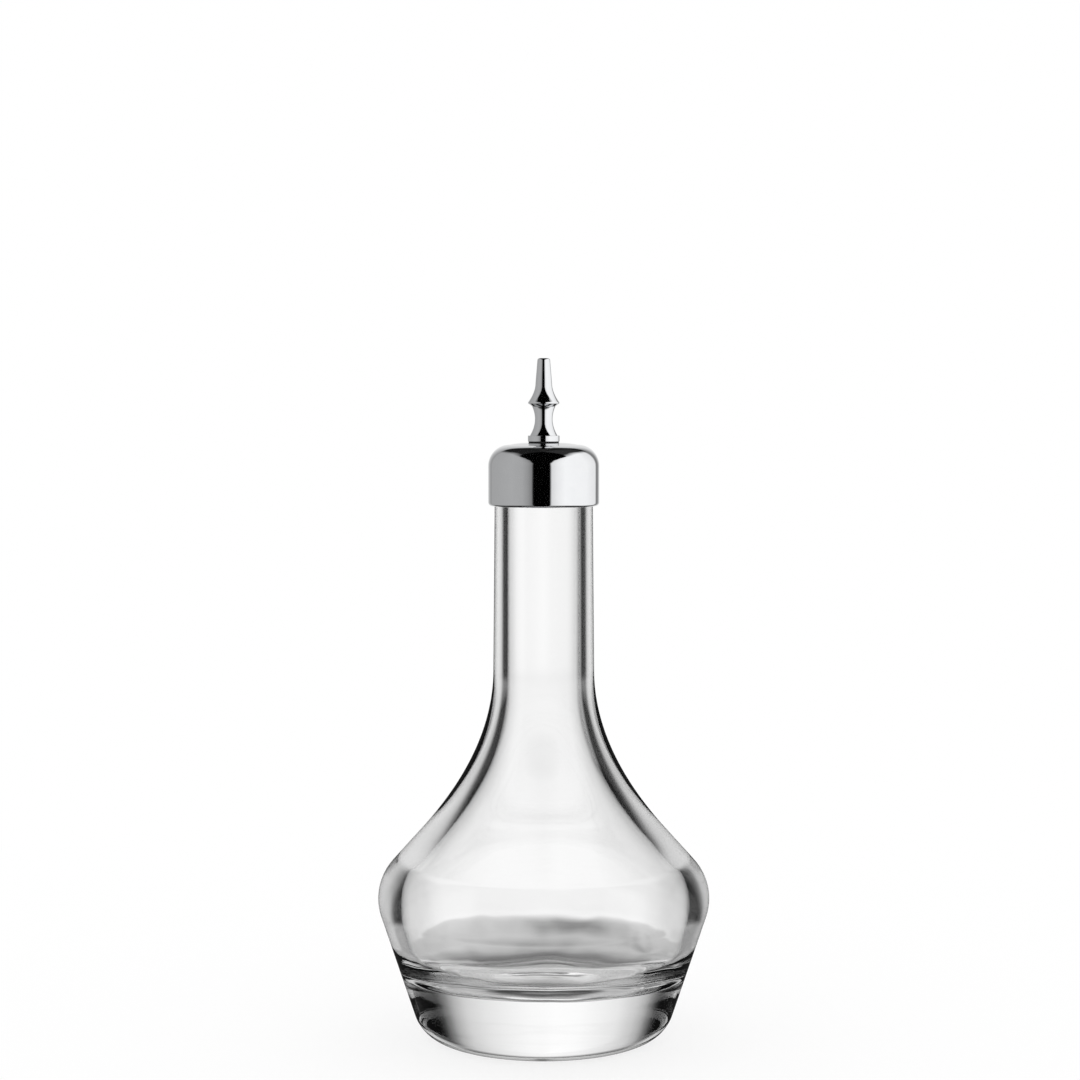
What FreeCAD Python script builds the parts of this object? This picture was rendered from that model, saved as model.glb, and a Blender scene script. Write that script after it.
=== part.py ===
import FreeCAD
import Part

import math
import os

# Bitters bottle: a heavy-based glass bottle closed by a push-in dasher top.
# Millimetres and degrees, +Z up, origin at the middle of the base, on the table.
# The top is a chromed cap and nozzle, clamped to a stem that carries a finned sleeve
# and a lip gasket. The whole top pulls straight up out of the neck.

# Glass bottle, outside
BODY_DIAMETER = 75.5
WIDEST_HEIGHT = 32.2
BELLY_ROUND = 12.0
BASE_TAPER = 18.5
HEEL_ROUND = 8.2
SHOULDER_LEAN = 42.0
SHOULDER_RISE = 52.3
NECK_LENGTH = 47.0
NECK_ROOT_DIAMETER = 22.9
NECK_TOP_DIAMETER = 22.1
BEARING_RING_WIDTH = 6.0
PUNT_DEPTH = 0.8
STRAIGHT_SHOULDER_SHARE = 0.285

# Glass bottle, inside
BORE_DIAMETER = 16.4
BODY_WALL = 4.75
CAVITY_DROP = 0.8
CAVITY_ROUND = 10.5
CAVITY_LEAN = 46.5
CAVITY_STRAIGHT_SHARE = 0.08
CAVITY_ROOT_RISE = 4.0
CAVITY_TAPER = 15.2
BASE_THICKNESS = 15.0
FLOOR_ROUND = 11.25
LIP_OUTER_SHARE = 0.4
LIP_INNER_SHARE = 0.25

# Seals
GASKET_THICKNESS = 2.0
GASKET_SEAT_SHARE = 0.6
SLEEVE_LENGTH = 7.0
FIN_COUNT = 3
FIN_DEPTH = 0.9
FIN_FOOT_SHARE = 0.2
FIN_TIP_SHARES = (0.5, 0.75)
BORE_CLEARANCE = 0.1
SEAL_CLEARANCE = 0.08

# Stem that the cap is clamped to, with its washer and nut
FLANGE_DIAMETER = 12.0
FLANGE_THICKNESS = 1.2
STEM_DIAMETER = 8.0
STEM_FLOW_DIAMETER = 3.0
STEM_STICK_OUT = 0.3
STOP_WASHER_THICKNESS = 0.5
STOP_WASHER_GAP = 0.6
NUT_THICKNESS = 2.2
NUT_GAP = 0.7
NUT_CHAMFER = 0.5
THREAD_CLEARANCE = 0.05

# Cap
CAP_HEIGHT = 14.25
CAP_WALL = 1.15
CAP_SHOULDER_ROUND = 4.8
CAP_CROWN_RISE = 0.45
CAP_HEM_SHARE = 0.7
SKIRT_CLEARANCE = 0.3
CAP_HOLE_CLEARANCE = 0.1

# Nozzle
NOZZLE_HEIGHT = 18.85
NOZZLE_WASHER_THICKNESS = 0.3
NOZZLE_WASHER_INSET = 0.15
COLLAR_DIAMETER = 7.2
COLLAR_HEIGHT = 1.35
FOOT_DIAMETER = 6.3
WAIST_DIAMETER = 4.0
UNDER_BEAD_DIAMETER = 5.4
BEAD_DIAMETER = 7.1
BEAD_EDGE = 0.3
TAPER_DIAMETER = 3.75
TIP_DIAMETER = 2.9
TIP_ROUND = 0.55
SPIGOT_DIAMETER = 5.0
SPIGOT_LENGTH = 6.0
SPIGOT_END_GAP = 0.4
ORIFICE_DIAMETER = 1.2
NOZZLE_FLOW_DIAMETER = 2.2
# Heights on the nozzle, as shares of its height above the seat
WAIST_SHARE = 0.27
UNDER_BEAD_SHARE = 0.425
BEAD_SHARE = 0.455
SPIRE_BEND_SHARE = 0.595
TAPER_SHARE = 0.7
ORIFICE_SHARES = (0.6, 0.68)

FULL_TURN = 360
HEX_SIDES = 6
SAME_POINT = 1e-6
AXIS = FreeCAD.Vector(0, 0, 1)
CENTRE = FreeCAD.Vector(0, 0, 0)

# Heights that the pieces share
NECK_ROOT_Z = WIDEST_HEIGHT + SHOULDER_RISE
LIP_Z = NECK_ROOT_Z + NECK_LENGTH
FLANGE_Z = LIP_Z + GASKET_THICKNESS
CAP_INSIDE_Z = FLANGE_Z + FLANGE_THICKNESS
CAP_TOP_Z = CAP_INSIDE_Z + CAP_WALL
SKIRT_Z = CAP_TOP_Z - CAP_HEIGHT
NOZZLE_Z = CAP_TOP_Z + NOZZLE_WASHER_THICKNESS
SPIGOT_END_Z = NOZZLE_Z - SPIGOT_LENGTH
SLEEVE_END_Z = LIP_Z - SLEEVE_LENGTH
NUT_TOP_Z = SLEEVE_END_Z - STOP_WASHER_THICKNESS
NUT_END_Z = NUT_TOP_Z - NUT_THICKNESS
STEM_END_Z = NUT_END_Z - STEM_STICK_OUT

# Radii that the pieces share
BORE_RADIUS = BORE_DIAMETER / 2
NECK_TOP_RADIUS = NECK_TOP_DIAMETER / 2
NECK_ROOT_RADIUS = NECK_ROOT_DIAMETER / 2
NECK_WALL = NECK_TOP_RADIUS - BORE_RADIUS
LIP_OUTER_ROUND = LIP_OUTER_SHARE * NECK_WALL
LIP_INNER_ROUND = LIP_INNER_SHARE * NECK_WALL
STEM_RADIUS = STEM_DIAMETER / 2
STEM_HOLE_RADIUS = STEM_RADIUS + THREAD_CLEARANCE
SEAL_HOLE_RADIUS = STEM_RADIUS + SEAL_CLEARANCE
SPIGOT_RADIUS = SPIGOT_DIAMETER / 2
CAP_HOLE_RADIUS = SPIGOT_RADIUS + CAP_HOLE_CLEARANCE
COLLAR_RADIUS = COLLAR_DIAMETER / 2


def point(r, z):
    """A point of a half section: distance from the axis, and height."""
    return FreeCAD.Vector(r, 0, z)


def on_circle(centre, radius, angle):
    """The point at an angle on a circle of the half section, from straight outwards towards up."""
    turn = math.radians(angle)
    return point(centre.x + radius * math.cos(turn), centre.z + radius * math.sin(turn))


class Outline:
    """A half section drawn edge by edge, then turned about the axis into a solid."""

    def __init__(self, r, z):
        self.edges = []
        self.first = point(r, z)
        self.last = self.first

    def line(self, r, z):
        """A straight edge to a point, or none where the pen is there already."""
        end = point(r, z)
        if not self.last.isEqual(end, SAME_POINT):
            self.edges.append(Part.LineSegment(self.last, end).toShape())
            self.last = end
        return self

    def arc(self, centre, radius, start, end):
        """A straight edge to the arc's first point, then the arc about its centre."""
        first = on_circle(centre, radius, start)
        middle = on_circle(centre, radius, (start + end) / 2)
        self.line(first.x, first.z)
        last = on_circle(centre, radius, end)
        self.edges.append(Part.Arc(self.last, middle, last).toShape())
        self.last = last
        return self

    def bow(self, middle, end):
        """An arc through a middle point to an end point."""
        self.edges.append(Part.Arc(self.last, middle, end).toShape())
        self.last = end
        return self

    def sweep(self, control, end):
        """A parabola that leaves towards the control point and arrives from it."""
        curve = Part.BezierCurve()
        curve.setPoles([self.last, control, end])
        self.edges.append(curve.toShape())
        self.last = end
        return self

    def turned(self):
        """The solid of revolution."""
        self.line(self.first.x, self.first.z)
        return Part.Face(Part.Wire(self.edges)).revolve(CENTRE, AXIS, FULL_TURN)


def ring(inner, outer, bottom, top):
    """A plain turned ring."""
    return Outline(inner, bottom).line(outer, bottom).line(outer, top).line(inner, top).turned()


def neck_radius(z):
    """Outer radius of the drafted neck at a height."""
    share = (z - NECK_ROOT_Z) / NECK_LENGTH
    return NECK_ROOT_RADIUS + share * (NECK_TOP_RADIUS - NECK_ROOT_RADIUS)


def shoulder_sweep(centre, radius, lean, straight_share, neck):
    """Where the shoulder line off a round meets a neck: the corner, and where the sweep into it starts."""
    tangent = on_circle(centre, radius, lean)
    corner = point(neck, tangent.z + (tangent.x - neck) / math.tan(math.radians(lean)))
    return corner, tangent + (corner - tangent) * straight_share


def glass_bottle():
    """Thick glass body: tapered base, round belly, swept shoulder, drafted neck and a rounded lip."""
    taper = math.radians(BASE_TAPER)
    lean = math.tan(taper)
    belly = point(BODY_DIAMETER / 2 - BELLY_ROUND, WIDEST_HEIGHT)
    cavity = point(BODY_DIAMETER / 2 - BODY_WALL - CAVITY_ROUND, WIDEST_HEIGHT - CAVITY_DROP)

    # Outside: heel, cone and belly are tangent to each other
    cone_top = on_circle(belly, BELLY_ROUND, -BASE_TAPER)
    cone_foot_z = HEEL_ROUND * (1 - math.sin(taper))
    cone_foot_r = cone_top.x - (cone_top.z - cone_foot_z) * lean
    heel = point(cone_foot_r - HEEL_ROUND * math.cos(taper), HEEL_ROUND)
    punt_radius = heel.x - BEARING_RING_WIDTH
    corner, start = shoulder_sweep(
        belly, BELLY_ROUND, SHOULDER_LEAN, STRAIGHT_SHOULDER_SHARE, NECK_ROOT_RADIUS
    )

    # Inside: flatter than the outside on the shoulder, so that the wall thins towards the neck, steeper on
    # the base, and a straight bore
    inner_corner, inner_start = shoulder_sweep(
        cavity, CAVITY_ROUND, CAVITY_LEAN, CAVITY_STRAIGHT_SHARE, BORE_RADIUS
    )
    bore_root_z = inner_corner.z + NECK_ROOT_Z - corner.z + CAVITY_ROOT_RISE
    inner_cone = on_circle(cavity, CAVITY_ROUND, -CAVITY_TAPER)
    wall_foot = on_circle(inner_cone, FLOOR_ROUND, 180 - CAVITY_TAPER)
    floor_z = BASE_THICKNESS + FLOOR_ROUND
    floor_r = wall_foot.x - (wall_foot.z - floor_z) * math.tan(math.radians(CAVITY_TAPER))
    floor = point(floor_r, floor_z)

    outer_lip = point(NECK_TOP_RADIUS - LIP_OUTER_ROUND, LIP_Z - LIP_OUTER_ROUND)
    inner_lip = point(BORE_RADIUS + LIP_INNER_ROUND, LIP_Z - LIP_INNER_ROUND)

    outline = Outline(0, PUNT_DEPTH)
    outline.sweep(point(punt_radius / 4, PUNT_DEPTH), point(punt_radius / 2, PUNT_DEPTH / 2))
    outline.sweep(point(punt_radius * 3 / 4, 0), point(punt_radius, 0))
    outline.arc(heel, HEEL_ROUND, -90, -BASE_TAPER)
    outline.arc(belly, BELLY_ROUND, -BASE_TAPER, SHOULDER_LEAN)
    outline.line(start.x, start.z)
    outline.sweep(corner, point(NECK_ROOT_RADIUS, NECK_ROOT_Z))
    outline.arc(outer_lip, LIP_OUTER_ROUND, 0, 90)
    outline.arc(inner_lip, LIP_INNER_ROUND, 90, 180)
    outline.line(BORE_RADIUS, bore_root_z)
    outline.sweep(inner_corner, inner_start)
    outline.arc(cavity, CAVITY_ROUND, CAVITY_LEAN, -CAVITY_TAPER)
    outline.arc(floor, FLOOR_ROUND, -CAVITY_TAPER, -90)
    outline.line(0, BASE_THICKNESS)
    return outline.turned()


def lip_gasket():
    """Soft flat ring that seats on the land of the glass lip, under the stem's flange."""
    land_inside = BORE_RADIUS + LIP_INNER_ROUND
    land_outside = NECK_TOP_RADIUS - LIP_OUTER_ROUND
    edge = land_inside + GASKET_SEAT_SHARE * (land_outside - land_inside)
    return ring(SEAL_HOLE_RADIUS, edge, LIP_Z, FLANGE_Z)


def stopper_sleeve():
    """Soft sleeve on the stem, with fins that grip the bore of the neck."""
    fin_radius = BORE_RADIUS - BORE_CLEARANCE
    root_radius = fin_radius - FIN_DEPTH
    pitch = SLEEVE_LENGTH / FIN_COUNT
    outline = Outline(SEAL_HOLE_RADIUS, SLEEVE_END_Z).line(root_radius, SLEEVE_END_Z)
    for fin in range(FIN_COUNT):
        foot_z = SLEEVE_END_Z + fin * pitch
        low, high = (foot_z + share * pitch for share in FIN_TIP_SHARES)
        outline.line(root_radius, foot_z + FIN_FOOT_SHARE * pitch)
        outline.line(fin_radius, low).line(fin_radius, high)
        outline.line(root_radius, foot_z + pitch)
    return outline.line(SEAL_HOLE_RADIUS, LIP_Z).turned()


def stopper_stem():
    """Flanged tube inside the cap: the nozzle screws into its top, and it carries the seals."""
    socket_radius = SPIGOT_RADIUS + THREAD_CLEARANCE
    socket_end = SPIGOT_END_Z - SPIGOT_END_GAP
    flow_radius = STEM_FLOW_DIAMETER / 2
    outline = Outline(socket_radius, CAP_INSIDE_Z).line(FLANGE_DIAMETER / 2, CAP_INSIDE_Z)
    outline.line(FLANGE_DIAMETER / 2, FLANGE_Z).line(STEM_RADIUS, FLANGE_Z)
    outline.line(STEM_RADIUS, STEM_END_Z).line(flow_radius, STEM_END_Z)
    return outline.line(flow_radius, socket_end).line(socket_radius, socket_end).turned()


def stop_washer():
    """Thin washer that carries the sleeve on the nut."""
    return ring(STEM_HOLE_RADIUS, BORE_RADIUS - STOP_WASHER_GAP, NUT_TOP_Z, SLEEVE_END_Z)


def stem_nut():
    """Thin hexagon nut on the stem's lower end, its corners chamfered on both faces."""
    corner = BORE_RADIUS - NUT_GAP
    low_edge, high_edge = NUT_END_Z + NUT_CHAMFER, NUT_TOP_Z - NUT_CHAMFER
    hexagon = [
        FreeCAD.Vector(
            corner * math.cos(math.tau * side / HEX_SIDES),
            corner * math.sin(math.tau * side / HEX_SIDES),
            NUT_END_Z,
        )
        for side in range(HEX_SIDES)
    ]
    prism = Part.Face(Part.makePolygon(hexagon + hexagon[:1])).extrude(AXIS * NUT_THICKNESS)
    blank = Outline(STEM_HOLE_RADIUS, NUT_END_Z).line(corner - NUT_CHAMFER, NUT_END_Z)
    blank.line(corner, low_edge).line(corner, high_edge).line(corner - NUT_CHAMFER, NUT_TOP_Z)
    return prism.common(blank.line(STEM_HOLE_RADIUS, NUT_TOP_Z).turned())


def cap_shell():
    """Domed metal cap: a crowned top with a hole for the nozzle, and a skirt with a rounded hem."""
    inner_radius = neck_radius(SKIRT_Z) + SKIRT_CLEARANCE
    outer_radius = inner_radius + CAP_WALL
    hem_round = CAP_HEM_SHARE * CAP_WALL
    inner_round = CAP_SHOULDER_ROUND - CAP_WALL
    shoulder = point(outer_radius - CAP_SHOULDER_ROUND, CAP_TOP_Z - CAP_CROWN_RISE - CAP_SHOULDER_ROUND)
    inner_shoulder = point(shoulder.x, CAP_INSIDE_Z - inner_round)
    hem = point(outer_radius - hem_round, SKIRT_Z + hem_round)

    outline = Outline(CAP_HOLE_RADIUS, CAP_INSIDE_Z)
    outline.arc(inner_shoulder, inner_round, 90, 0)
    outline.line(inner_radius, SKIRT_Z)
    outline.arc(hem, hem_round, -90, 0)
    outline.arc(shoulder, CAP_SHOULDER_ROUND, 0, 90)
    outline.sweep(point((shoulder.x + COLLAR_RADIUS) / 2, CAP_TOP_Z), point(COLLAR_RADIUS, CAP_TOP_Z))
    return outline.line(CAP_HOLE_RADIUS, CAP_TOP_Z).turned()


def nozzle_washer():
    """Thin seal between the nozzle's collar and the cap."""
    return ring(CAP_HOLE_RADIUS, COLLAR_RADIUS - NOZZLE_WASHER_INSET, CAP_TOP_Z, NOZZLE_Z)


def dasher_nozzle():
    """Turned spire with a collar, a waist, a bead and a drilled tip, on a screwed spigot."""
    tip_z = NOZZLE_Z + NOZZLE_HEIGHT
    collar_top = NOZZLE_Z + COLLAR_HEIGHT
    taper_radius = TAPER_DIAMETER / 2
    tip_radius = TIP_DIAMETER / 2
    bead_radius = BEAD_DIAMETER / 2
    flow_radius = NOZZLE_FLOW_DIAMETER / 2
    orifice_radius = ORIFICE_DIAMETER / 2

    def height(share):
        return NOZZLE_Z + share * NOZZLE_HEIGHT

    orifice_foot, orifice_top = (height(share) for share in ORIFICE_SHARES)
    bead_z = height(BEAD_SHARE)
    tip = point(tip_radius - TIP_ROUND, tip_z - TIP_ROUND)

    outline = Outline(flow_radius, SPIGOT_END_Z)
    outline.line(SPIGOT_RADIUS, SPIGOT_END_Z).line(SPIGOT_RADIUS, NOZZLE_Z)
    outline.line(COLLAR_RADIUS, NOZZLE_Z).line(COLLAR_RADIUS, collar_top)
    outline.line(FOOT_DIAMETER / 2, collar_top)
    outline.bow(
        point(WAIST_DIAMETER / 2, height(WAIST_SHARE)),
        point(UNDER_BEAD_DIAMETER / 2, height(UNDER_BEAD_SHARE)),
    )
    outline.line(bead_radius, bead_z).line(bead_radius, bead_z + BEAD_EDGE)
    outline.sweep(
        point(taper_radius, height(SPIRE_BEND_SHARE)),
        point(taper_radius, height(TAPER_SHARE)),
    )
    outline.line(tip_radius, tip.z).arc(tip, TIP_ROUND, 0, 90)
    outline.line(orifice_radius, tip_z).line(orifice_radius, orifice_top)
    return outline.line(flow_radius, orifice_foot).turned()


PIECES = (
    glass_bottle,
    lip_gasket,
    stopper_sleeve,
    stopper_stem,
    stop_washer,
    stem_nut,
    cap_shell,
    nozzle_washer,
    dasher_nozzle,
)


def main():
    os.makedirs("parts", exist_ok=True)
    for piece in PIECES:
        solid = piece()
        solid.exportStep(f"parts/{piece.__name__}.step")
        box = solid.BoundBox
        print(
            f"{piece.__name__}: volume {solid.Volume:.1f}, valid {solid.isValid()}, "
            f"solids {len(solid.Solids)}, z {box.ZMin:.2f} to {box.ZMax:.2f}, width {box.XLength:.2f}"
        )


if __name__ == "__main__":
    main()
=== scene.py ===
"""Looks of a bitters bottle: clear heavy glass closed by a chromed dasher top."""
import math

import bmesh
import bpy
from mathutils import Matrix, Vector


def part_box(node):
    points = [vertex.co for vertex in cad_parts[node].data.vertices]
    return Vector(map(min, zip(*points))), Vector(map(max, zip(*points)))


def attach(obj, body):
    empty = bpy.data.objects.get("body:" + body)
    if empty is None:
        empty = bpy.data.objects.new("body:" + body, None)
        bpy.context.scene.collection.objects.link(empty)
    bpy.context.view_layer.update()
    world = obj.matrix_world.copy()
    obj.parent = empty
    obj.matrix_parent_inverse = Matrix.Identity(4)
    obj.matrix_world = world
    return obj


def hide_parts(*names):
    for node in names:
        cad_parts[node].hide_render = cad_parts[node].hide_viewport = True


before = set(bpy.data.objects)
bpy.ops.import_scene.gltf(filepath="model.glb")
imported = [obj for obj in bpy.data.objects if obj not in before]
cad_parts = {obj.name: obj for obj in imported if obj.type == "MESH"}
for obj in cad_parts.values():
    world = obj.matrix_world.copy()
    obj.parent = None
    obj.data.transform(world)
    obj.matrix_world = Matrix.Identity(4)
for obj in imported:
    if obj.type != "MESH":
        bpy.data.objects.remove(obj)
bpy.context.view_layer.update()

MM = 0.001
SCENE = bpy.context.scene
SHARP_ANGLE = math.radians(35)
# Points this close are one: in millimetres along a section, in metres in a mesh
SHORTEST_LINE = 1e-6
MERGE_DISTANCE = 1e-6

# Glass outside, in millimetres and degrees
BODY_RADIUS = 37.75
BELLY_ROUND = 12.0
WIDEST_HEIGHT = 32.2
BASE_TAPER = 18.5
HEEL_ROUND = 8.2
SHOULDER_LEAN = 42.0
STRAIGHT_SHOULDER_SHARE = 0.285
NECK_ROOT_HEIGHT = 84.5
NECK_ROOT_RADIUS = 11.45
NECK_TOP_RADIUS = 11.05
BEARING_RING_WIDTH = 6.0
PUNT_DEPTH = 0.8

# Glass inside
BORE_RADIUS = 8.2
BODY_WALL = 4.75
CAVITY_WIDEST_HEIGHT = 31.4
CAVITY_ROUND = 10.5
CAVITY_LEAN = 46.5
CAVITY_STRAIGHT_SHARE = 0.08
CAVITY_ROOT_RISE = 4.0
CAVITY_TAPER = 15.2
BASE_THICKNESS = 15.0
FLOOR_ROUND = 11.25
LIP_OUTER_ROUND = 1.14
LIP_INNER_ROUND = 0.71

# Unevenness of the blown cavity: how far it lies off centre, and the ripples of its walls and floor
CAVITY_SHIFT = (0.3, 0.3, 0.0)
RIPPLE_HEIGHT = 0.35
RIPPLE_SIZE = 12.0
RIPPLE_SEED = 3.0
RIPPLE_DETAIL = 1.5
RIPPLE_ROUGHNESS = 0.45
RIPPLE_GROWTH = 4

# Cap
CAP_WALL = 1.15
CAP_SHOULDER_ROUND = 4.8
CAP_CROWN_RISE = 0.45
CAP_HEM_ROUND = 0.8
CAP_HOLE_RADIUS = 2.6

# Nozzle
COLLAR_RADIUS = 3.6
COLLAR_HEIGHT = 1.35
NOZZLE_HEIGHT = 18.85
FOOT_RADIUS = 3.15
WAIST_RADIUS = 2.0
UNDER_BEAD_RADIUS = 2.7
BEAD_RADIUS = 3.55
BEAD_EDGE = 0.3
TAPER_RADIUS = 1.875
TIP_RADIUS = 1.45
TIP_ROUND = 0.55
SPIGOT_RADIUS = 2.5
ORIFICE_RADIUS = 0.6
NOZZLE_FLOW_RADIUS = 1.1
WAIST_SHARE = 0.27
UNDER_BEAD_SHARE = 0.425
BEAD_SHARE = 0.455
SPIRE_BEND_SHARE = 0.595
TAPER_SHARE = 0.7
ORIFICE_SHARES = (0.6, 0.68)
TURNED_EDGE = 0.1

# Stopper
SEAL_HOLE_RADIUS = 4.08
SEAL_EDGE = 0.25
FIN_COUNT = 3
FIN_DEPTH = 0.9
FIN_FOOT_SHARE = 0.2
FIN_TIP_SHARES = (0.5, 0.75)
FIN_EDGE = 0.14
STEM_RADIUS = 4.0
FLANGE_THICKNESS = 1.2
SOCKET_RADIUS = 2.55
SOCKET_DEPTH = 4.95
STEM_FLOW_RADIUS = 1.5
STEM_EDGE = 0.2
STEEL_HOLE_RADIUS = 4.05
WASHER_EDGE = 0.12
NUT_CHAMFER = 0.5
NUT_SIDES = 6
NUT_COLUMNS = 96

# Steps of the turn
GLASS_SEGMENTS = 240
CAP_SEGMENTS = 192
NOZZLE_SEGMENTS = 128
SEAL_SEGMENTS = 128
STEM_SEGMENTS = 96
WASHER_SEGMENTS = 96

# Finishes: the size of each pattern's features and the depth of its relief, in millimetres
GLASS_SWELL_SIZE = 11.0
GLASS_SWELL_DEPTH = 0.012
SCUFF_SIZE = 0.7
SCUFF_FADE_HEIGHTS = (0.03, 0.1)
CHROME_HAZE_SIZE = 2.5
CHROME_SWELL_SIZE = 4.0
CHROME_SWELL_DEPTH = 0.01
TOOL_LINE_SPACING = 0.2
TOOL_LINE_DEPTH = 0.02
SILICONE_CLOUD_SIZE = 3.0
SILICONE_GRAIN_SIZE = 0.25
SILICONE_GRAIN_DEPTH = 0.02
SILICONE_SOAK = 1.2
RUBBER_BLOOM_SIZE = 1.5
RUBBER_GRAIN_SIZE = 0.15
RUBBER_GRAIN_DEPTH = 0.02


def add(tree, kind, inputs=None, **settings):
    """Adds a node, sets its properties, and fills or links its inputs."""
    node = tree.nodes.new(kind)
    for name, value in settings.items():
        setattr(node, name, value)
    for key, value in (inputs or {}).items():
        if isinstance(value, bpy.types.NodeSocket):
            tree.links.new(value, node.inputs[key])
        else:
            node.inputs[key].default_value = value
    return node


def linear(hex_colour):
    """An sRGB hex colour as linear red, green, blue and full alpha."""
    channels = [int(hex_colour[i : i + 2], 16) / 255 for i in (1, 3, 5)]
    return [c / 12.92 if c <= 0.04045 else ((c + 0.055) / 1.055) ** 2.4 for c in channels] + [1.0]


class Outline:
    """Half section of a turned piece, in millimetres.

    ripples and shifts say how much each point takes part in the unevenness of blown glass.
    """

    def __init__(self, r, z):
        self.points = []
        self.ripples = []
        self.shifts = []
        self.to(r, z)

    def to(self, r, z):
        self.points.append((r, z))
        self.ripples.append(0.0)
        self.shifts.append(0.0)

    def line(self, r, z, steps=1):
        r0, z0 = self.points[-1]
        if math.hypot(r - r0, z - z0) > SHORTEST_LINE:
            for step in range(1, steps + 1):
                self.to(r0 + (r - r0) * step / steps, z0 + (z - z0) * step / steps)
        return self

    def arc(self, centre, radius, start, end, steps, lead=1):
        """A straight lead to the arc's first point, then the arc."""
        angles = [start + (end - start) * step / steps for step in range(steps + 1)]
        self.line(*on_circle(centre, radius, angles[0]), steps=lead)
        for angle in angles[1:]:
            self.to(*on_circle(centre, radius, angle))
        return self

    def sweep(self, control, end, steps):
        """A parabola that leaves towards the control point and arrives from it."""
        start = self.points[-1]
        for step in range(1, steps + 1):
            t = step / steps
            self.to(*(
                (1 - t) ** 2 * a + 2 * t * (1 - t) * b + t * t * c for a, b, c in zip(start, control, end)
            ))
        return self

    def bend(self, corner, onward, size, steps=4):
        """A line towards a corner that is rounded off, from size before it to size after it."""
        before = along(corner, self.points[-1], size)
        return self.line(*before).sweep(corner, along(corner, onward, size), steps)


def on_circle(centre, radius, angle):
    """The point at an angle on a circle of the half section, from straight outwards towards up."""
    turn = math.radians(angle)
    return centre[0] + radius * math.cos(turn), centre[1] + radius * math.sin(turn)


def along(start, end, distance):
    """The point at a distance from start towards end."""
    share = distance / math.dist(start, end)
    return tuple(a + share * (b - a) for a, b in zip(start, end))


def rounded_ring(corners, size):
    """A closed section whose corners are all rounded off alike."""
    last = corners[-1]
    outline = Outline(*((a + b) / 2 for a, b in zip(last, corners[0])))
    start = outline.points[0]
    for corner, onward in zip(corners, corners[1:] + corners[:1]):
        outline.bend(corner, onward, size)
    return outline.line(*start)


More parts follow.
